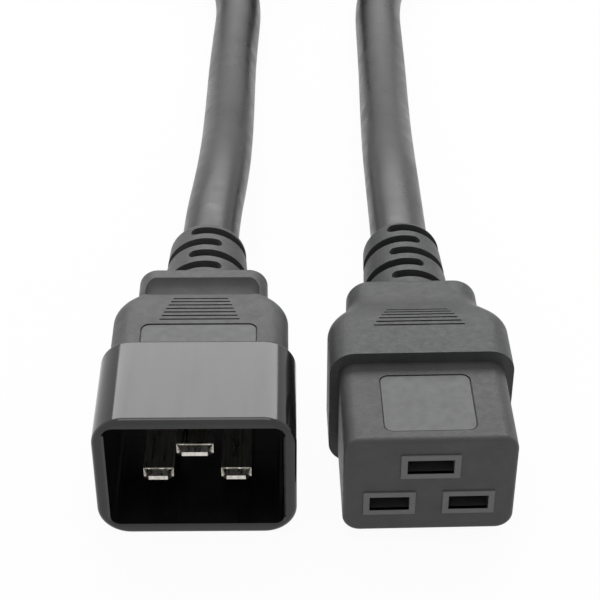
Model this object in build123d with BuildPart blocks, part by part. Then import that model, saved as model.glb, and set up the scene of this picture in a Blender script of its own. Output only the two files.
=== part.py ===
from build123d import *
import os
from math import cos, pi, radians, sin, sqrt, tan

# The cord: three insulated cores in one round jacket
cord_diameter = 11.0
core_diameter = 3.8
strand_diameter = 2.4
core_gap = 0.4
jacket_clearance = 0.15

# Pattern shared by the blades and the slots, measured from the middle of each face
line_pitch = 13.0
earth_rise = 4.3
line_drop = 3.7

# Plug shroud, open at the front
shell_width = 33.2
shell_height = 25.2
shell_corner = 5.5
shell_length = 20.5
shell_rim_round = 0.9
shell_rear_round = 0.6
cavity_width = 29.0
cavity_height = 21.2
cavity_corner = 1.6
cavity_depth = 18.2
cavity_lip = 0.35

# Blades of the plug
blade_thickness = 2.0
line_blade_width = 5.0
earth_blade_width = 6.0
line_blade_recess = 4.2
earth_blade_recess = 1.3
blade_point_length = 2.0
blade_point_side = 0.9
blade_point_face = 0.6

# Crimped tails of the blades and of the contacts
barrel_diameter = 4.2
barrel_length = 8.0
barrel_floor = 1.2
bare_strand = 1.0

# Boss on the rear of each insert, held in the moulded body
boss_width = 24.0
boss_height = 14.0
boss_corner = 2.0
boss_length = 3.0

# Moulded body of the plug
body_step = 1.3
plug_block_length = 16.8
plug_block_corner = 4.2
plug_shoulder = 6.5
plug_edge_round = 1.4
shoulder_angles = (0, 30, 55, 80)
plug_tail_width = 23.2
plug_tail_height = 18.8
plug_tail_length = 8.1
plug_tail_corner = 3.4
plug_tail_rear_round = 1.2
scoop_radius = 3.8
scoop_depth = 1.9
scoop_width = 20.6
scoop_end_round = 1.8
scoop_from_rear = 6.3

# Label bed and finger ribs on top of the plug
label_depth = 0.3
label_corner = 1.6
plug_label_width = 20.0
plug_label_length = 6.2
rib_count = 7
rib_pitch = 1.0
rib_groove = 0.34
rib_depth = 0.35
rib_front_depth = 0.6
plug_rib_gap = 1.2
plug_rib_front_width = 13.8
plug_rib_rear_width = 9.6

# Nose of the connector
nose_width = 28.3
nose_height = 20.2
nose_corner = 3.0
nose_length = 19.2
nose_rim_round = 0.8
slot_height = 2.85
line_slot_width = 6.5
earth_slot_width = 7.55
slot_depth = 2.6
frame_rise = 0.25
line_frame_border = 0.95
earth_frame_border = 1.0
chamber_height = 4.8
chamber_end = 16.0
nose_label_width = 15.3
nose_label_length = 14.0
nose_label_setback = 2.1

# Spring contacts of the connector
leaf_thickness = 0.5
leaf_mouth_gap = 3.0
leaf_grip_gap = 1.7
leaf_mouth_setback = 0.7
leaf_grip_setback = 4.6
contact_side_gap = 0.3

# Moulded body of the connector
connector_step = 2.2
collar_width = 31.3
collar_corner = 4.4
collar_length = 9.1
sweep_length = 10.7
sweep_sections = 4
connector_tail_width = 23.4
connector_tail_height = 19.2
connector_tail_corner = 4.2
connector_tail_length = 4.9
connector_rear_round = 1.8
connector_rib_count = 6
connector_rib_setback = 12.6
connector_rib_front_width = 15.6
connector_rib_rear_width = 10.6

# Slotted strain reliefs
relief_front_diameter = 16.4
relief_rear_diameter = 14.4
relief_end_round = 1.6
relief_slot_width = 2.2
relief_slot_sweep = 210.0
relief_slot_pitch = 3.85
plug_relief_length = 17.6
plug_relief_slots = 4
plug_slot_start = 3.0
connector_relief_length = 21.4
connector_relief_slots = 5
connector_slot_start = 3.4
jacket_inset = 1.2

# Places of the two ends on the floor
plug_place = Location((-18.3, -30.7, 0), (0, 0, 0.48))
connector_place = Location((19.96, -31.96, 0), (0, 0, 1.57))

# Routes of the cord, from each end to the coil
plug_route = [
    (-18.69, 16.3, 12.6),
    (-18.87, 38.0, 12.6),
    (-16.9, 64.0, 11.6),
    (-16.8, 92.0, 7.4),
    (-16.9, 122.0, 5.5),
    (-16.0, 150.0, 5.5),
    (-22.0, 170.5, 5.5),
    (-39.5, 194.5, 5.5),
]
connector_route = [
    (18.62, 17.0, 12.3),
    (18.0, 39.5, 12.3),
    (17.5, 65.0, 11.2),
    (17.6, 92.0, 7.2),
    (17.9, 121.0, 5.5),
    (17.8, 150.0, 5.5),
    (24.0, 170.0, 5.5),
    (40.5, 194.5, 5.5),
]
route_bend_share = 0.45

# The coil: four turns, two beside two
coil_centre = (0.5, 246.5)
coil_turn_diameter = 120.0
coil_turns_across = 2
coil_turns_high = 2
coil_round = 4.0

# Heights that follow from the sizes
plug_axis = shell_height / 2
nose_base = connector_step
connector_axis = nose_base + nose_height / 2
plug_block_width = shell_width - 2 * body_step
plug_block_height = shell_height - 2 * body_step
collar_height = nose_height + 2 * connector_step
tail_start = shell_length + plug_block_length
plug_relief_start = tail_start + plug_tail_length
collar_end = nose_length + collar_length
sweep_end = collar_end + sweep_length
connector_relief_start = sweep_end + connector_tail_length
coil_width = coil_turns_across * cord_diameter
coil_height = coil_turns_high * cord_diameter

POLES = {
    "line": (-line_pitch / 2, -line_drop, line_blade_width, line_blade_recess),
    "neutral": (line_pitch / 2, -line_drop, line_blade_width, line_blade_recess),
    "earth": (0, earth_rise, earth_blade_width, earth_blade_recess),
}
SLOTS = {
    "line": (-line_pitch / 2, -line_drop, line_slot_width, line_frame_border),
    "neutral": (line_pitch / 2, -line_drop, line_slot_width, line_frame_border),
    "earth": (0, earth_rise, earth_slot_width, earth_frame_border),
}


def across(y):
    """The upright plane at a distance behind the front face; sketches on it are drawn in X and Z."""
    return Plane.XZ.offset(-y)


def behind(y_start, y_end):
    """The signed depth that extrudes from one upright plane back to another."""
    return y_start - y_end


def core_place(pole):
    """Where a core lies in the jacket, from its middle: the earth core above two others."""
    ring = (core_diameter + core_gap) / sqrt(3)
    angle = {"earth": 90, "line": 210, "neutral": 330}[pole]
    return ring * cos(radians(angle)), ring * sin(radians(angle))


def finish(piece, name, place):
    """Labels a piece, moves it to its place and writes it."""
    piece.part.label = name
    piece.part.move(place)
    export_step(piece.part, f"parts/{name}.step")


def barrel(x, z, y):
    """The crimped barrel behind a blade or a contact, closed in front."""
    with BuildPart() as made:
        with BuildSketch(across(y)):
            with Locations((x, z)):
                Circle(barrel_diameter / 2)
        extrude(amount=behind(y, y + barrel_length))
        with BuildSketch(across(y + barrel_floor)):
            with Locations((x, z)):
                Circle(strand_diameter / 2)
        extrude(amount=behind(y + barrel_floor, y + barrel_length), mode=Mode.SUBTRACT)
    return made.part


def strands(x, z, y):
    """The bare strands in a barrel that starts at y."""
    with BuildPart() as made:
        with BuildSketch(across(y + barrel_floor)):
            with Locations((x, z)):
                Circle(strand_diameter / 2)
        extrude(amount=behind(y + barrel_floor, y + barrel_length + bare_strand))
    return made


def core(x, z, axis, pole, y, y_jacket):
    """An insulated core, from its stripped end at y to the cut face of the jacket."""
    across_jacket, above_axis = core_place(pole)
    end = (across_jacket, y_jacket, axis + above_axis)
    lead = core_diameter / 2
    with BuildPart() as made:
        with BuildLine():
            FilletPolyline(
                (x, y, z),
                (x, y + lead, z),
                (end[0], end[1] - lead, end[2]),
                end,
                radius=core_diameter * 0.6,
            )
        with BuildSketch(Plane(origin=(x, y, z), z_dir=(0, 1, 0))):
            Circle(core_diameter / 2)
        sweep()
    return made


def relief(start, length, axis, slots, first_slot, first_side):
    """A tapered sleeve round the jacket, cut by slots that alternate from side to side."""
    with BuildPart() as made:
        with BuildSketch(across(start)):
            with Locations((0, axis)):
                Circle(relief_front_diameter / 2)
        with BuildSketch(across(start + length)):
            with Locations((0, axis)):
                Circle(relief_rear_diameter / 2)
        loft()
        fillet(made.faces().sort_by(Axis.Y)[-1].edges(), relief_end_round)
        bore = cord_diameter / 2 + jacket_clearance
        reach = relief_front_diameter / 2
        half_open = (relief_slot_sweep - 180) / 2
        for index in range(slots):
            y = start + first_slot + index * relief_slot_pitch
            side = first_side * (-1) ** index
            turn = Location((0, y, axis))
            with BuildPart(mode=Mode.PRIVATE) as cutter:
                with BuildSketch(Plane.YZ):
                    with Locations((0, (bore + reach) / 2)):
                        Rectangle(relief_slot_width, reach - bore + relief_slot_width)
                revolve(axis=Axis.Y, revolution_arc=relief_slot_sweep)
                for end_angle in (0, relief_slot_sweep):
                    out = Vector(sin(radians(end_angle)), 0, cos(radians(end_angle)))
                    with BuildSketch(Plane(origin=out * bore, z_dir=out)):
                        Circle(relief_slot_width / 2)
                    extrude(amount=reach)
            swing = -half_open if side > 0 else 180 - half_open
            add(cutter.part.moved(turn * Location((0, 0, 0), (0, swing, 0))), mode=Mode.SUBTRACT)
    return made.part


os.makedirs("parts", exist_ok=True)

# Plug shroud: an open rounded box with a solid floor and a boss for the moulded body
with BuildPart() as plug_shell:
    with BuildSketch(across(0)):
        with Locations((0, plug_axis)):
            RectangleRounded(shell_width, shell_height, shell_corner)
    extrude(amount=behind(0, shell_length))
    fillet(plug_shell.faces().sort_by(Axis.Y)[0].edges(), shell_rim_round)
    fillet(plug_shell.faces().sort_by(Axis.Y)[-1].edges(), shell_rear_round)
    with BuildSketch(across(shell_length)):
        with Locations((0, plug_axis)):
            RectangleRounded(boss_width, boss_height, boss_corner)
    extrude(amount=behind(shell_length, shell_length + boss_length))
    with BuildSketch(across(0)):
        with Locations((0, plug_axis)):
            RectangleRounded(cavity_width, cavity_height, cavity_corner)
    extrude(amount=behind(0, cavity_depth), mode=Mode.SUBTRACT)
    mouth = plug_shell.faces().sort_by(Axis.Y)[0].inner_wires()[0].edges()
    chamfer(mouth, cavity_lip)

# Blades, crimped tails, bare strands and cores of the plug
boss_end = shell_length + boss_length
plug_jacket_start = plug_relief_start + jacket_inset
plug_blades = {}
plug_strands = {}
plug_cores = {}
for pole, (column, rise, width, recess) in POLES.items():
    row = plug_axis + rise
    with BuildPart() as blade:
        with BuildSketch(across(recess)):
            with Locations((column, row)):
                Rectangle(width - 2 * blade_point_side, blade_thickness - 2 * blade_point_face)
        with BuildSketch(across(recess + blade_point_length)):
            with Locations((column, row)):
                Rectangle(width, blade_thickness)
        loft()
        with BuildSketch(across(recess + blade_point_length)):
            with Locations((column, row)):
                Rectangle(width, blade_thickness)
        extrude(amount=behind(recess + blade_point_length, boss_end))
        add(barrel(column, row, boss_end))
    plug_blades[pole] = blade
    plug_strands[pole] = strands(column, row, boss_end)
    stripped = boss_end + barrel_length + bare_strand
    plug_cores[pole] = core(column, row, plug_axis, pole, stripped, plug_jacket_start)
with BuildPart() as plug_insert:
    add(plug_shell.part)
    for blade in plug_blades.values():
        add(blade.part, mode=Mode.SUBTRACT)

# Moulded body of the plug: a shouldered block, a scooped tail and the slotted relief
with BuildPart() as plug_body:
    with BuildSketch(across(shell_length)):
        with Locations((0, plug_axis)):
            RectangleRounded(plug_block_width, plug_block_height, plug_block_corner)
    extrude(amount=behind(shell_length, tail_start - plug_shoulder))
    for angle in shoulder_angles:
        back = plug_shoulder * sin(radians(angle))
        inward = 1 - cos(radians(angle))
        with BuildSketch(across(tail_start - plug_shoulder + back)):
            with Locations((0, plug_axis)):
                RectangleRounded(
                    plug_block_width - 2 * plug_shoulder * inward,
                    plug_block_height - 2 * plug_edge_round * inward,
                    plug_block_corner,
                )
    loft()
    with BuildSketch(across(tail_start - plug_shoulder)):
        with Locations((0, plug_axis)):
            RectangleRounded(plug_tail_width, plug_tail_height, plug_tail_corner)
    extrude(amount=behind(tail_start - plug_shoulder, plug_relief_start))
    fillet(plug_body.faces().sort_by(Axis.Y)[-1].edges(), plug_tail_rear_round)
    with BuildPart(mode=Mode.PRIVATE) as scoop:
        with BuildSketch(Plane.YZ.offset(-scoop_width / 2)):
            with Locations((0, 0)):
                Circle(scoop_radius)
        extrude(amount=scoop_width)
        fillet(scoop.edges().filter_by(GeomType.CIRCLE), scoop_end_round)
    scoop_y = plug_relief_start - scoop_from_rear
    scoop_z = plug_tail_height / 2 - scoop_depth + scoop_radius
    for rise in (scoop_z, -scoop_z):
        add(scoop.part.moved(Location((0, scoop_y, plug_axis + rise))), mode=Mode.SUBTRACT)

    add(
        relief(
            plug_relief_start, plug_relief_length, plug_axis, plug_relief_slots, plug_slot_start, -1
        )
    )
    top = plug_axis + plug_block_height / 2
    with BuildSketch(Plane.XY.offset(top - label_depth)):
        with Locations((0, shell_length)):
            RectangleRounded(plug_label_width, 2 * plug_label_length, label_corner)
    extrude(amount=label_depth, mode=Mode.SUBTRACT)
    rib_front = shell_length + plug_label_length + plug_rib_gap
    for index in range(rib_count):
        y = rib_front + index * rib_pitch
        share = index / (rib_count - 1)
        long = plug_rib_front_width + (plug_rib_rear_width - plug_rib_front_width) * share
        into_shoulder = max(0, y - tail_start + plug_shoulder) / plug_shoulder
        drop = plug_edge_round * (1 - sqrt(1 - into_shoulder**2))
        deep = rib_front_depth if index == 0 else rib_depth
        for face in (-1, 1):
            level = plug_block_height / 2 - drop
            with Locations((0, y, plug_axis + face * level)):
                Box(long, rib_groove, 2 * deep, mode=Mode.SUBTRACT)
    add(plug_shell.part, mode=Mode.SUBTRACT)
    jacket_hole = cord_diameter / 2 + jacket_clearance
    with BuildSketch(across(plug_jacket_start)):
        with Locations((0, plug_axis)):
            Circle(jacket_hole)
    extrude(
        amount=behind(plug_jacket_start, plug_relief_start + plug_relief_length), mode=Mode.SUBTRACT
    )
    for pole in POLES:
        add(plug_blades[pole].part, mode=Mode.SUBTRACT)
        add(plug_strands[pole].part, mode=Mode.SUBTRACT)
        add(plug_cores[pole].part, mode=Mode.SUBTRACT)

# Spring contacts of the connector: two leaves that grip a blade, a web and a crimped barrel
nose_boss_end = nose_length + boss_length
connector_jacket_start = connector_relief_start + jacket_inset
connector_contacts = {}
connector_strands = {}
connector_cores = {}
for pole, (column, rise, width, border) in SLOTS.items():
    row = connector_axis + rise
    leaf_width = width - 2 * contact_side_gap
    leaf_rear_height = (chamber_height - leaf_thickness) / 2
    with BuildPart() as contact:
        for face in (-1, 1):
            with BuildSketch(Plane.YZ.offset(column - leaf_width / 2)):
                with BuildLine():
                    mouth_height = row + face * (leaf_mouth_gap + leaf_thickness) / 2
                    grip_height = row + face * (leaf_grip_gap + leaf_thickness) / 2
                    root_height = row + face * leaf_rear_height
                    Polyline(
                        (slot_depth + leaf_mouth_setback, mouth_height),
                        (slot_depth + leaf_grip_setback, grip_height),
                        (chamber_end - leaf_thickness / 2, root_height),
                    )
                trace(line_width=leaf_thickness)
            extrude(amount=leaf_width)
        with BuildSketch(across(chamber_end - leaf_thickness)):
            with Locations((column, row)):
                Rectangle(leaf_width, chamber_height)
        extrude(amount=behind(chamber_end - leaf_thickness, chamber_end))
        with BuildSketch(across(chamber_end)):
            with Locations((column, row)):
                Rectangle(strand_diameter, blade_thickness)
        extrude(amount=behind(chamber_end, nose_boss_end))
        add(barrel(column, row, nose_boss_end))
    connector_contacts[pole] = contact
    connector_strands[pole] = strands(column, row, nose_boss_end)
    stripped = nose_boss_end + barrel_length + bare_strand
    connector_cores[pole] = core(
        column, row, connector_axis, pole, stripped, connector_jacket_start
    )

# Nose of the connector: three framed slots, a chamber behind each, and a boss
with BuildPart() as connector_nose:
    with BuildSketch(across(0)):
        with Locations((0, connector_axis)):
            RectangleRounded(nose_width, nose_height, nose_corner)
    extrude(amount=behind(0, nose_length))
    fillet(connector_nose.faces().sort_by(Axis.Y)[0].edges(), nose_rim_round)
    with BuildSketch(across(nose_length)):
        with Locations((0, connector_axis)):
            RectangleRounded(boss_width, boss_height, boss_corner)
    extrude(amount=behind(nose_length, nose_boss_end))
    with BuildSketch(Plane.XY.offset(nose_base + nose_height - label_depth)):
        with Locations((0, nose_label_setback + nose_label_length / 2)):
            RectangleRounded(nose_label_width, nose_label_length, label_corner)
    extrude(amount=label_depth, mode=Mode.SUBTRACT)
    for column, rise, width, border in SLOTS.values():
        row = connector_axis + rise
        with BuildSketch(across(-frame_rise)):
            with Locations((column, row)):
                Rectangle(width + 2 * border, slot_height + 2 * border)
        extrude(amount=behind(-frame_rise, slot_depth))
    for column, rise, width, border in SLOTS.values():
        row = connector_axis + rise
        with BuildSketch(across(-frame_rise)):
            with Locations((column, row)):
                Rectangle(width, slot_height)
        extrude(amount=behind(-frame_rise, slot_depth), mode=Mode.SUBTRACT)
        with BuildSketch(across(slot_depth)):
            with Locations((column, row)):
                Rectangle(width, chamber_height)
        extrude(amount=behind(slot_depth, chamber_end), mode=Mode.SUBTRACT)
    for contact in connector_contacts.values():
        add(contact.part, mode=Mode.SUBTRACT)

# Moulded body of the connector: a collar swept into a narrower tail, and the slotted relief
with BuildPart() as connector_body:
    with BuildSketch(across(nose_length)):
        with Locations((0, connector_axis)):
            RectangleRounded(collar_width, collar_height, collar_corner)
    extrude(amount=behind(nose_length, collar_end))
    for step in range(sweep_sections + 1):
        share = step / sweep_sections
        ease = (1 - cos(pi * share)) / 2
        with BuildSketch(across(collar_end + share * sweep_length)):
            with Locations((0, connector_axis)):
                RectangleRounded(
                    collar_width + (connector_tail_width - collar_width) * ease,
                    collar_height + (connector_tail_height - collar_height) * ease,
                    collar_corner + (connector_tail_corner - collar_corner) * ease,
                )
    loft()
    with BuildSketch(across(sweep_end)):
        with Locations((0, connector_axis)):
            RectangleRounded(connector_tail_width, connector_tail_height, connector_tail_corner)
    extrude(amount=behind(sweep_end, connector_relief_start))
    fillet(connector_body.faces().sort_by(Axis.Y)[-1].edges(), connector_rear_round)
    add(
        relief(
            connector_relief_start,
            connector_relief_length,
            connector_axis,
            connector_relief_slots,
            connector_slot_start,
            1,
        )
    )
    rib_front = nose_length + connector_rib_setback - rib_pitch * (connector_rib_count - 1)
    for index in range(connector_rib_count):
        y = rib_front + index * rib_pitch
        share = index / (connector_rib_count - 1)
        change = connector_rib_rear_width - connector_rib_front_width
        long = connector_rib_front_width + change * share
        ease = (1 - cos(pi * max(0, y - collar_end) / sweep_length)) / 2
        level = (collar_height + (connector_tail_height - collar_height) * ease) / 2
        for face in (-1, 1):
            with Locations((0, y, connector_axis + face * level)):
                Box(long, rib_groove, 2 * rib_depth, mode=Mode.SUBTRACT)
    add(connector_nose.part, mode=Mode.SUBTRACT)
    with BuildSketch(across(connector_jacket_start)):
        with Locations((0, connector_axis)):
            Circle(jacket_hole)
    connector_relief_end = connector_relief_start + connector_relief_length
    extrude(amount=behind(connector_jacket_start, connector_relief_end), mode=Mode.SUBTRACT)
    for pole in SLOTS:
        add(connector_contacts[pole].part, mode=Mode.SUBTRACT)
        add(connector_strands[pole].part, mode=Mode.SUBTRACT)
        add(connector_cores[pole].part, mode=Mode.SUBTRACT)

# The coil: one ring with the outer shape of its turns
with BuildPart() as cord_coil:
    with BuildSketch(Plane.XZ):
        with Locations((coil_turn_diameter / 2, coil_height / 2)):
            RectangleRounded(coil_width, coil_height, coil_round)
    revolve(axis=Axis.Z)
cord_coil.part.label = "cord_coil"
cord_coil.part.move(Location((*coil_centre, 0)))


def corner_radii(route):
    """The arc at each inner point: as large as its two runs allow."""
    points = [Vector(point) for point in route]
    radii = []
    for before, corner, after in zip(points, points[1:], points[2:]):
        shorter = min((corner - before).length, (after - corner).length)
        turn = (corner - before).get_angle(after - corner)
        radii.append(route_bend_share * shorter / tan(radians(turn / 2)))
    return radii


def cord_run(route):
    """A stretch of the cord along straight runs and tangent arcs, cut where it meets the coil."""
    radii = corner_radii(route)
    with BuildPart() as made:
        with BuildLine() as path:
            FilletPolyline(*route, radius=radii)
        with BuildSketch(Plane(origin=route[0], z_dir=path.line % 0)):
            Circle(cord_diameter / 2)
        sweep()
        length = sum(edge.length for edge in path.edges())
        section = pi * cord_diameter**2 / 4
        print("radii", [round(radius) for radius in radii], "of", round(length, 1), "mm;")
        print("volume by section and length", round(made.part.volume / (section * length), 4))
        add(cord_coil.part, mode=Mode.SUBTRACT)
    return made


cord_plug_run = cord_run(plug_route)
cord_connector_run = cord_run(connector_route)

# Every piece, written at its place
finish(plug_insert, "plug_shell", plug_place)
finish(plug_body, "plug_body", plug_place)
finish(connector_nose, "connector_nose", connector_place)
finish(connector_body, "connector_body", connector_place)
for pole in POLES:
    finish(plug_blades[pole], f"plug_{pole}_blade", plug_place)
    finish(plug_strands[pole], f"plug_{pole}_strands", plug_place)
    finish(plug_cores[pole], f"plug_{pole}_core", plug_place)
    finish(connector_contacts[pole], f"connector_{pole}_contact", connector_place)
    finish(connector_strands[pole], f"connector_{pole}_strands", connector_place)
    finish(connector_cores[pole], f"connector_{pole}_core", connector_place)
here = Location((0, 0, 0))
finish(cord_plug_run, "cord_plug_run", here)
finish(cord_connector_run, "cord_connector_run", here)
finish(cord_coil, "cord_coil", here)
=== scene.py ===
from math import cos, pi, radians, sin

import bmesh
import bpy
from mathutils import Matrix, Vector


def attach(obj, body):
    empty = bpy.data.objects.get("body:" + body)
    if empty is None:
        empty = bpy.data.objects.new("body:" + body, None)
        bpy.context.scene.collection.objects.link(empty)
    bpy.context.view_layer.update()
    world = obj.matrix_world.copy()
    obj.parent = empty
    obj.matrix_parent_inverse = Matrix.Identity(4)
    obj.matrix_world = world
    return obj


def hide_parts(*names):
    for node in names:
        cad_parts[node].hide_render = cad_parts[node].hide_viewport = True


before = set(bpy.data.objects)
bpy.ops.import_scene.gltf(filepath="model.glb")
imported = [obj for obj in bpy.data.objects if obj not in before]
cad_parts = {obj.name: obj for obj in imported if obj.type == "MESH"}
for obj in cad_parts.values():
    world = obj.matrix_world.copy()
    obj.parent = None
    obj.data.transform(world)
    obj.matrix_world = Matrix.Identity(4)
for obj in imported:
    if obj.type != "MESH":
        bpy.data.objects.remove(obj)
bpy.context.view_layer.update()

# The photograph's camera, found from the blade pattern and the shell's outline
CAMERA_AT = (-0.0012, -0.23304, 0.20527)
CAMERA_DOWN = 37.59
CAMERA_LENS = 102.0
CAMERA_NEAR = 0.01
SENSOR = 36.0

# Where the two ends lie, as in the solids, and the faces that the pieces added here sit on
PLUG_PLACE = Matrix.Translation((-0.0183, -0.0307, 0)) @ Matrix.Rotation(radians(0.48), 4, "Z")
CONNECTOR_PLACE = Matrix.Translation((0.01996, -0.03196, 0)) @ Matrix.Rotation(radians(1.57), 4, "Z")
SHELL_REAR = 0.0205
PLUG_TOP = 0.0239
NOSE_TOP = 0.0224
CONNECTOR_AXIS = 0.0123
LABEL_DEPTH = 0.0003
LABEL_GAP = 0.00012
LABEL_EDGE = 0.00012
LABEL_CORNER = 0.0016
PLUG_LABEL = (0.02, 0.0062)
NOSE_LABEL = (0.0153, 0.014)
NOSE_LABEL_SETBACK = 0.0021
LABELS = {
    "plug_label": (PLUG_PLACE, SHELL_REAR + PLUG_LABEL[1] / 2 - LABEL_GAP / 2, PLUG_LABEL, PLUG_TOP),
    "nose_label": (CONNECTOR_PLACE, NOSE_LABEL_SETBACK + NOSE_LABEL[1] / 2, NOSE_LABEL, NOSE_TOP),
}

# The blades' points: how far behind the tip their foot is in the solids, and where it is drawn to
POINT_SOLID = 0.002
POINT_GROUND = 0.00135
POINT_REACH = 0.0003
# How deep each blade's tip lies in the mouth
BLADES = {"line": 0.0042, "neutral": 0.0042, "earth": 0.0013}

# The nose's slots: column, rise over the axis, width, and the border of the moulded frame
SLOTS = {
    "line": (-0.0065, -0.0037, 0.0065, 0.00095),
    "neutral": (0.0065, -0.0037, 0.0065, 0.00095),
    "earth": (0.0, 0.0043, 0.00755, 0.001),
}
SLOT_HEIGHT = 0.00285
RIM_FRONT = -0.0003
RIM_BACK = 0.0004
RIM_EDGE = 0.00008

# The studio: the floor's share of plain white and its colour as lit, the surround, and the lamps
FLOOR_WHITE = 0.95
FLOOR_GREY = 0.85
FLOOR_HALF = 4.0
WORLD_LIGHT = 0.5
SOFTBOXES = {
    "back_softbox": ((0.0, 1.0, 0.8), (0, 0.02, 0.01), (1.5, 0.5), 10.3),
    "top_softbox": ((0.0, 0.1, 1.3), (0, 0, 0), (1.0, 0.8), 5.5),
}

# The middle stretch of a noise texture that a material spreads its values over
NOISE_LOW = 0.3
NOISE_HIGH = 0.7

# The cord
CORD_DIAMETER = 0.011
LAY_PITCH = 0.062
LAY_DEPTH = 0.00009
RING_POINTS = 36
ROUTE_RESOLUTION = 12
PLUG_ROUTE = [
    (-0.01869, 0.0163, 0.0126),
    (-0.01887, 0.0380, 0.0126),
    (-0.0169, 0.0640, 0.0116),
    (-0.0168, 0.0920, 0.0074),
    (-0.0169, 0.1220, 0.0055),
    (-0.0160, 0.1500, 0.0055),
    (-0.0220, 0.1705, 0.0055),
    (-0.0395, 0.1945, 0.0055),
]
CONNECTOR_ROUTE = [
    (0.01862, 0.0170, 0.0123),
    (0.0180, 0.0395, 0.0123),
    (0.0175, 0.0650, 0.0112),
    (0.0176, 0.0920, 0.0072),
    (0.0179, 0.1210, 0.0055),
    (0.0178, 0.1500, 0.0055),
    (0.0240, 0.1700, 0.0060),
    (0.0405, 0.1945, 0.0135),
]

# The coil: clockwise seen from above, outer then inner turns on the floor, then inner and outer on top
COIL_CENTRE = (0.0005, 0.2465)
OUTER_TURN = 0.0655
INNER_TURN = 0.0545
LOW_TURN = 0.0055
HIGH_TURN = 0.0165
COIL_FIRST_ANGLE = 233.5
COIL_FIRST_STEP = 20.0
COIL_LAST_STEP = 1347.0
COIL_STEPS = 68
GOES_IN = (303.5, 358.5)
GOES_UP = (623.5, 678.5)
GOES_OUT = (983.5, 1033.5)
CORNER_CUT = 0.0153


def smooth(value, span):
    """0 before a span, 1 after it, and a soft step between."""
    share = min(1.0, max(0.0, (value - span[0]) / (span[1] - span[0])))
    return share * share * (3 - 2 * share)


def coil_points():
    """The turns of the coil as control points of the cord's spline."""
    points = []
    for index in range(COIL_STEPS):
        step = COIL_FIRST_STEP + (COIL_LAST_STEP - COIL_FIRST_STEP) * index / (COIL_STEPS - 1)
        inside = smooth(step, GOES_IN) - smooth(step, GOES_OUT)
        radius = (OUTER_TURN + (INNER_TURN - OUTER_TURN) * inside) * (1 + CORNER_CUT)
        height = LOW_TURN + (HIGH_TURN - LOW_TURN) * smooth(step, GOES_UP)
        angle = radians(COIL_FIRST_ANGLE - step)
        x = COIL_CENTRE[0] + radius * cos(angle)
        y = COIL_CENTRE[1] + radius * sin(angle)
        points.append((x, y, height))
    return points


def route_line():
    """The cord's centreline: one smooth spline from the plug, round the coil, to the connector."""
    curve = bpy.data.curves.new("cord_route", "CURVE")
    curve.dimensions = "3D"
    curve.resolution_u = ROUTE_RESOLUTION
    spline = curve.splines.new("NURBS")
    points = PLUG_ROUTE + coil_points() + CONNECTOR_ROUTE[::-1]
    spline.points.add(len(points) - 1)
    for point, place in zip(spline.points, points):
        point.co = (*place, 1.0)
    spline.order_u = 3
    spline.use_endpoint_u = True
    route = bpy.data.objects.new("cord_route", curve)
    bpy.context.collection.objects.link(route)
    mesh = bpy.data.meshes.new_from_object(route)
    line = [vertex.co.copy() for vertex in mesh.vertices]
    bpy.data.objects.remove(route)
    bpy.data.meshes.remove(mesh)
    bpy.data.curves.remove(curve)
    return line


def cord_tube(line):
    """The jacket as a closed tube whose surface shows the lay of the three cores inside."""
    vertices, faces = [], []
    forward = (line[1] - line[0]).normalized()
    side = forward.cross(Vector((0, 0, 1))).normalized()
    travelled = 0.0
    for index, place in enumerate(line):
        before = line[max(0, index - 1)]
        after = line[min(len(line) - 1, index + 1)]
        forward = (after - before).normalized()
        side = (side - forward * side.dot(forward)).normalized()
        up = side.cross(forward)
        travelled += (place - before).length
        twist = 2 * pi * travelled / LAY_PITCH
        for point in range(RING_POINTS):
            angle = 2 * pi * point / RING_POINTS
            radius = CORD_DIAMETER / 2 + LAY_DEPTH * (cos(3 * angle - twist) - 1) / 2
            vertices.append(place + side * radius * cos(angle) + up * radius * sin(angle))
    for ring in range(len(line) - 1):
        for point in range(RING_POINTS):
            a = ring * RING_POINTS + point
            b = ring * RING_POINTS + (point + 1) % RING_POINTS
            faces.append((a, b, b + RING_POINTS, a + RING_POINTS))
    faces.append(tuple(range(RING_POINTS))[::-1])
    last = (len(line) - 1) * RING_POINTS
    faces.append(tuple(range(last, last + RING_POINTS)))
    mesh = bpy.data.meshes.new("cord")
    mesh.from_pydata([tuple(v) for v in vertices], [], faces)
    mesh.validate()
    mesh.shade_smooth()
    tube = bpy.data.objects.new("cord", mesh)
    bpy.context.collection.objects.link(tube)
    return tube


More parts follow.
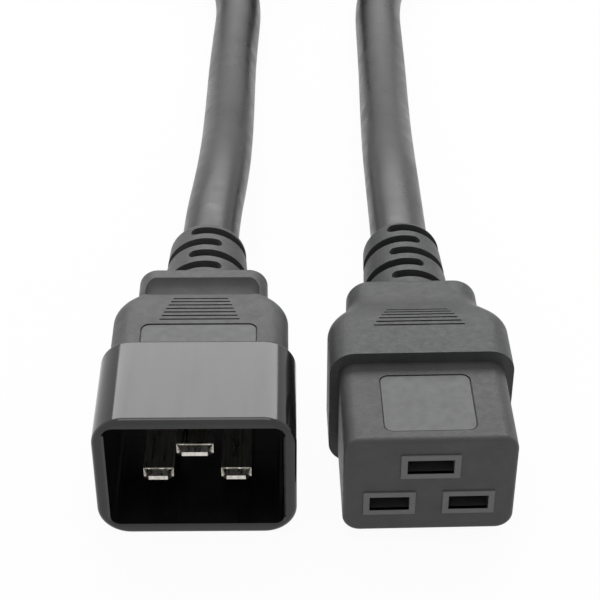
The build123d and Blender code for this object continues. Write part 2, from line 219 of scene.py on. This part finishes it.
class Paint:
    """A node material whose colour, roughness and bump come from procedural textures."""

    def __init__(self, name, roughness, metallic=0.0, specular=0.5):
        self.material = bpy.data.materials.new(name)
        self.material.use_nodes = True
        self.nodes = self.material.node_tree.nodes
        self.links = self.material.node_tree.links
        self.shader = self.nodes["Principled BSDF"]
        self.shader.inputs["Roughness"].default_value = roughness
        self.shader.inputs["Metallic"].default_value = metallic
        self.shader.inputs["Specular IOR Level"].default_value = specular
        self.place = self.nodes.new("ShaderNodeTexCoord").outputs["Object"]

    def stretched(self, scale, turn=0.0):
        mapping = self.nodes.new("ShaderNodeMapping")
        mapping.inputs["Scale"].default_value = scale
        mapping.inputs["Rotation"].default_value = (0, 0, radians(turn))
        self.links.new(self.place, mapping.inputs["Vector"])
        return mapping.outputs["Vector"]

    def noise(self, scale, detail=3.0, place=None):
        noise = self.nodes.new("ShaderNodeTexNoise")
        noise.inputs["Scale"].default_value = scale
        noise.inputs["Detail"].default_value = detail
        self.links.new(place or self.place, noise.inputs["Vector"])
        return noise.outputs["Fac"]

    def spread(self, value, low, high):
        ramp = self.nodes.new("ShaderNodeMapRange")
        ramp.inputs["From Min"].default_value = NOISE_LOW
        ramp.inputs["From Max"].default_value = NOISE_HIGH
        ramp.inputs["To Min"].default_value = low
        ramp.inputs["To Max"].default_value = high
        self.links.new(value, ramp.inputs["Value"])
        return ramp.outputs["Result"]

    def colour(self, value, dark, light):
        ramp = self.nodes.new("ShaderNodeValToRGB")
        ramp.color_ramp.elements[0].position = NOISE_LOW
        ramp.color_ramp.elements[0].color = (*dark, 1)
        ramp.color_ramp.elements[1].position = NOISE_HIGH
        ramp.color_ramp.elements[1].color = (*light, 1)
        self.links.new(value, ramp.inputs["Fac"])
        self.links.new(ramp.outputs["Color"], self.shader.inputs["Base Color"])

    def rough(self, value, low, high):
        self.links.new(self.spread(value, low, high), self.shader.inputs["Roughness"])

    def bump(self, value, distance, strength=1.0):
        bump = self.nodes.new("ShaderNodeBump")
        bump.inputs["Strength"].default_value = strength
        bump.inputs["Distance"].default_value = distance
        self.links.new(value, bump.inputs["Height"])
        if self.shader.inputs["Normal"].is_linked:
            earlier = self.shader.inputs["Normal"].links[0].from_socket
            self.links.new(earlier, bump.inputs["Normal"])
        self.links.new(bump.outputs["Normal"], self.shader.inputs["Normal"])


def moulded_plastic(name, dark, light, roughness):
    """Matte moulded plastic with a fine spark-eroded grain."""
    paint = Paint(name, roughness, specular=0.3)
    paint.colour(paint.noise(260, 5), dark, light)
    paint.rough(paint.noise(900, 4), roughness - 0.06, roughness + 0.06)
    paint.bump(paint.noise(1700, 4), 0.00006, 0.8)
    paint.bump(paint.noise(420, 2), 0.00006, 0.25)
    return paint.material


def polished_plastic(name):
    """Polished black plastic with a faint waviness and fine wipe marks."""
    paint = Paint(name, 0.1)
    paint.colour(paint.noise(180, 4), (0.006, 0.006, 0.0065), (0.011, 0.011, 0.012))
    marks = paint.noise(700, 6, paint.stretched((1, 0.12, 1), 20))
    paint.rough(marks, 0.09, 0.19)
    paint.bump(paint.noise(130, 2), 0.00005, 0.25)
    return paint.material


def plated_blade(name):
    """Nickel plate with fine draw marks along the blade."""
    paint = Paint(name, 0.3, metallic=1.0)
    along = paint.stretched((1, 0.05, 1))
    paint.colour(paint.noise(2600, 5, along), (0.5, 0.48, 0.44), (0.78, 0.76, 0.71))
    paint.rough(paint.noise(1500, 4, along), 0.22, 0.42)
    paint.bump(paint.noise(3800, 3, along), 0.00003, 0.5)
    return paint.material


def rolled_metal(name, dark, light):
    """Rolled brass or copper with a fine streak."""
    paint = Paint(name, 0.35, metallic=1.0)
    along = paint.stretched((1, 0.1, 1))
    paint.colour(paint.noise(1800, 4, along), dark, light)
    paint.rough(paint.noise(900, 3), 0.28, 0.45)
    paint.bump(paint.noise(2500, 3, along), 0.00003, 0.4)
    return paint.material


def insulation(name, dark, light):
    """Smooth extruded insulation."""
    paint = Paint(name, 0.4)
    paint.colour(paint.noise(300, 3), dark, light)
    paint.rough(paint.noise(500, 3), 0.34, 0.46)
    paint.bump(paint.noise(600, 2), 0.00005, 0.2)
    return paint.material


def jacket(name):
    """Semi-gloss black jacket with the soft unevenness of extruded rubber."""
    paint = Paint(name, 0.32, specular=0.42)
    paint.colour(paint.noise(90, 5), (0.015, 0.015, 0.0155), (0.026, 0.026, 0.0265))
    paint.rough(paint.noise(240, 4), 0.25, 0.38)
    paint.bump(paint.noise(60, 3, paint.stretched((1, 0.3, 1))), 0.0009, 0.6)
    paint.bump(paint.noise(900, 4), 0.00003, 0.35)
    return paint.material


def label_plastic(name):
    """The smoother, slightly lighter skin of a bare label bed."""
    paint = Paint(name, 0.4, specular=0.4)
    paint.colour(paint.noise(320, 4), (0.056, 0.057, 0.058), (0.066, 0.067, 0.068))
    paint.rough(paint.noise(700, 4), 0.36, 0.46)
    paint.bump(paint.noise(1500, 3), 0.00002, 0.3)
    return paint.material


def frame_plastic(name):
    """The smooth, paler rims round the slots."""
    paint = Paint(name, 0.42)
    paint.colour(paint.noise(500, 4), (0.098, 0.099, 0.1), (0.114, 0.115, 0.116))
    paint.rough(paint.noise(900, 4), 0.38, 0.48)
    paint.bump(paint.noise(2200, 3), 0.00002, 0.3)
    return paint.material


def new_piece(name, mesh, material, place):
    """Puts a mesh drawn in an end's own frame on that end, as a piece of the object."""
    mesh.transform(place)
    piece = bpy.data.objects.new(name, mesh)
    bpy.context.collection.objects.link(piece)
    dress(piece, material)
    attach(piece, "root")
    return piece


def rounded_corners(half_x, half_y, radius, steps=6):
    """The outline of a rounded rectangle, anticlockwise."""
    outline = []
    for quarter, (sx, sy) in enumerate(((1, 1), (-1, 1), (-1, -1), (1, -1))):
        for step in range(steps + 1):
            angle = radians(90 * (quarter + step / steps))
            x = sx * (half_x - radius) + radius * cos(angle)
            y = sy * (half_y - radius) + radius * sin(angle)
            outline.append((x, y))
    return outline


def label_plate(name, place, centre_y, size, top, material):
    """A thin plate with a rounded rim, bedded in the recess on top of an end."""
    half_x, half_y = size[0] / 2 - LABEL_GAP, size[1] / 2 - LABEL_GAP
    radius = LABEL_CORNER - LABEL_GAP
    face = top - LABEL_DEPTH / 3
    levels = ((top - LABEL_DEPTH, 0.0), (face - LABEL_EDGE, 0.0), (face, LABEL_EDGE))
    vertices, faces = [], []
    for height, inset in levels:
        for x, y in rounded_corners(half_x - inset, half_y - inset, radius - inset):
            vertices.append((x, centre_y + y, height))
    count = len(vertices) // len(levels)
    for level in range(len(levels) - 1):
        for point in range(count):
            a = level * count + point
            b = level * count + (point + 1) % count
            faces.append((a, b, b + count, a + count))
    faces.append(tuple(range(count))[::-1])
    faces.append(tuple(range(2 * count, 3 * count)))
    mesh = bpy.data.meshes.new(name)
    mesh.from_pydata(vertices, [], faces)
    return new_piece(name, mesh, material, place)


def slot_rim(pole, material):
    """The rim round one slot, its outer edges softened, just proud of the moulded frame."""
    column, rise, width, moulded_border = SLOTS[pole]
    border = moulded_border + RIM_EDGE
    loops = (
        (border, RIM_BACK),
        (border, RIM_FRONT + RIM_EDGE),
        (border - RIM_EDGE, RIM_FRONT),
        (RIM_EDGE, RIM_FRONT),
        (0.0, RIM_FRONT + RIM_EDGE),
        (0.0, RIM_BACK),
    )
    vertices, faces = [], []
    for grow, y in loops:
        for sx, sz in ((1, 1), (-1, 1), (-1, -1), (1, -1)):
            x = column + sx * (width / 2 + grow)
            z = CONNECTOR_AXIS + rise + sz * (SLOT_HEIGHT / 2 + grow)
            vertices.append((x, y, z))
    for loop in range(len(loops)):
        after = (loop + 1) % len(loops)
        for corner in range(4):
            beside = (corner + 1) % 4
            faces.append(
                (loop * 4 + corner, loop * 4 + beside, after * 4 + beside, after * 4 + corner)
            )
    name = f"{pole}_slot_rim"
    mesh = bpy.data.meshes.new(name)
    mesh.from_pydata(vertices, [], faces)
    flip = bmesh.new()
    flip.from_mesh(mesh)
    bmesh.ops.recalc_face_normals(flip, faces=flip.faces)
    flip.to_mesh(mesh)
    flip.free()
    return new_piece(name, mesh, material, CONNECTOR_PLACE)


def reworked_blade(pole, recess, material):
    """A copy of a blade with the rows at its point's foot drawn forward.

    The rows just in front of them stay where they are, so the point's faces fold over there.
    """
    node = f"plug_{pole}_blade"
    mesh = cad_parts[node].data.copy()
    mesh.name = f"{pole}_blade"
    mesh.transform(PLUG_PLACE.inverted())
    for vertex in mesh.vertices:
        behind_tip = vertex.co.y - recess
        if POINT_SOLID - POINT_REACH < behind_tip < POINT_SOLID + POINT_REACH:
            vertex.co.y = recess + POINT_GROUND
    blade = new_piece(f"{pole}_blade", mesh, material, PLUG_PLACE)
    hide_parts(node)


def dress(piece, material):
    """Gives a piece one material in place of its plain one."""
    piece.data.materials.clear()
    piece.data.materials.append(material)


def dress_nodes():
    """Gives every carried-over node its finish."""
    plug_plastic = moulded_plastic("plug_plastic", (0.06, 0.06, 0.0615), (0.078, 0.078, 0.0795), 0.46)
    connector_plastic = moulded_plastic(
        "connector_plastic", (0.042, 0.043, 0.044), (0.056, 0.057, 0.058), 0.46
    )
    nose_plastic = moulded_plastic("nose_plastic", (0.048, 0.048, 0.049), (0.06, 0.06, 0.061), 0.46)
    brass = rolled_metal("contact_brass", (0.5, 0.36, 0.14), (0.72, 0.55, 0.26))
    copper = rolled_metal("strand_copper", (0.5, 0.22, 0.1), (0.75, 0.38, 0.2))
    finishes = {
        "plug_body": plug_plastic,
        "plug_shell": polished_plastic("shroud_plastic"),
        "connector_body": connector_plastic,
        "connector_nose": nose_plastic,
    }
    cores = {
        "line": insulation("black_insulation", (0.012, 0.012, 0.012), (0.02, 0.02, 0.02)),
        "neutral": insulation("white_insulation", (0.68, 0.68, 0.66), (0.78, 0.78, 0.76)),
        "earth": insulation("green_insulation", (0.02, 0.2, 0.06), (0.03, 0.27, 0.09)),
    }
    for pole, core in cores.items():
        finishes[f"connector_{pole}_contact"] = brass
        for end in ("plug", "connector"):
            finishes[f"{end}_{pole}_strands"] = copper
            finishes[f"{end}_{pole}_core"] = core
    for node, material in finishes.items():
        dress(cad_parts[node], material)


def white_for_eyes(material, dull, share, source):
    """Lets the camera, gloss and glass see white, mixed over what lights the object."""
    nodes, links = material.node_tree.nodes, material.node_tree.links
    white = nodes.new(source)
    white.inputs["Color"].default_value = (1, 1, 1, 1)
    white.inputs["Strength"].default_value = 1.0
    rays = nodes.new("ShaderNodeLightPath")
    either = nodes.new("ShaderNodeMath")
    either.operation = "MAXIMUM"
    links.new(rays.outputs["Is Camera Ray"], either.inputs[0])
    links.new(rays.outputs["Is Glossy Ray"], either.inputs[1])
    any_ray = nodes.new("ShaderNodeMath")
    any_ray.operation = "MAXIMUM"
    links.new(either.outputs[0], any_ray.inputs[0])
    links.new(rays.outputs["Is Transmission Ray"], any_ray.inputs[1])
    part = nodes.new("ShaderNodeMath")
    part.operation = "MULTIPLY"
    part.inputs[1].default_value = share
    links.new(any_ray.outputs[0], part.inputs[0])
    mix = nodes.new("ShaderNodeMixShader")
    links.new(part.outputs[0], mix.inputs["Fac"])
    links.new(dull, mix.inputs[1])
    links.new(white.outputs[0], mix.inputs[2])
    return mix.outputs[0]


def lay_floor():
    """A wide white floor that keeps the object's soft shadow."""
    half = FLOOR_HALF
    mesh = bpy.data.meshes.new("floor")
    mesh.from_pydata(
        [(-half, -half, 0), (half, -half, 0), (half, half, 0), (-half, half, 0)], [], [(0, 1, 2, 3)]
    )
    floor = bpy.data.objects.new("floor", mesh)
    bpy.context.collection.objects.link(floor)
    material = bpy.data.materials.new("white_floor")
    material.use_nodes = True
    nodes, links = material.node_tree.nodes, material.node_tree.links
    nodes.remove(nodes["Principled BSDF"])
    dull = nodes.new("ShaderNodeBsdfDiffuse")
    dull.inputs["Color"].default_value = (FLOOR_GREY, FLOOR_GREY, FLOOR_GREY, 1)
    seen = white_for_eyes(material, dull.outputs[0], FLOOR_WHITE, "ShaderNodeEmission")
    links.new(seen, nodes["Material Output"].inputs["Surface"])
    dress(floor, material)


def light_world():
    """A plain pale surround."""
    world = bpy.data.worlds.new("surround")
    world.use_nodes = True
    bpy.context.scene.world = world
    nodes, links = world.node_tree.nodes, world.node_tree.links
    dull = nodes["Background"]
    dull.inputs["Color"].default_value = (1, 1, 1, 1)
    dull.inputs["Strength"].default_value = WORLD_LIGHT
    seen = white_for_eyes(world, dull.outputs[0], 1, "ShaderNodeBackground")
    links.new(seen, nodes["World Output"].inputs["Surface"])


def soft_light(name, place, aim, size, power):
    """A large soft lamp that the camera doesn't see."""
    lamp = bpy.data.lights.new(name, "AREA")
    lamp.shape = "RECTANGLE"
    lamp.size, lamp.size_y = size
    lamp.energy = power
    light = bpy.data.objects.new(name, lamp)
    light.location = place
    light.rotation_euler = (Vector(aim) - Vector(place)).to_track_quat("-Z", "Y").to_euler()
    light.visible_camera = False
    bpy.context.collection.objects.link(light)


def place_camera():
    """The camera of the photograph."""
    data = bpy.data.cameras.new("camera")
    data.lens = CAMERA_LENS
    data.sensor_width = SENSOR
    data.sensor_fit = "HORIZONTAL"
    data.clip_start = CAMERA_NEAR
    camera = bpy.data.objects.new("camera", data)
    camera.location = CAMERA_AT
    camera.rotation_euler = (radians(90 - CAMERA_DOWN), 0, 0)
    bpy.context.collection.objects.link(camera)
    bpy.context.scene.camera = camera


line = route_line()
cord = cord_tube(line)
dress(cord, jacket("cord_jacket"))
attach(cord, "root")
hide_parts("cord_plug_run", "cord_connector_run", "cord_coil")

dress_nodes()
nickel = plated_blade("blade_nickel")
for pole, recess in BLADES.items():
    reworked_blade(pole, recess, nickel)
label = label_plastic("label_plastic")
for name, (place, centre_y, size, top) in LABELS.items():
    label_plate(name, place, centre_y, size, top, label)
rim = frame_plastic("rim_plastic")
for pole in SLOTS:
    slot_rim(pole, rim)
place_camera()
lay_floor()
light_world()
for name, (place, aim, size, power) in SOFTBOXES.items():
    soft_light(name, place, aim, size, power)

bpy.context.scene.view_settings.view_transform = "Standard"
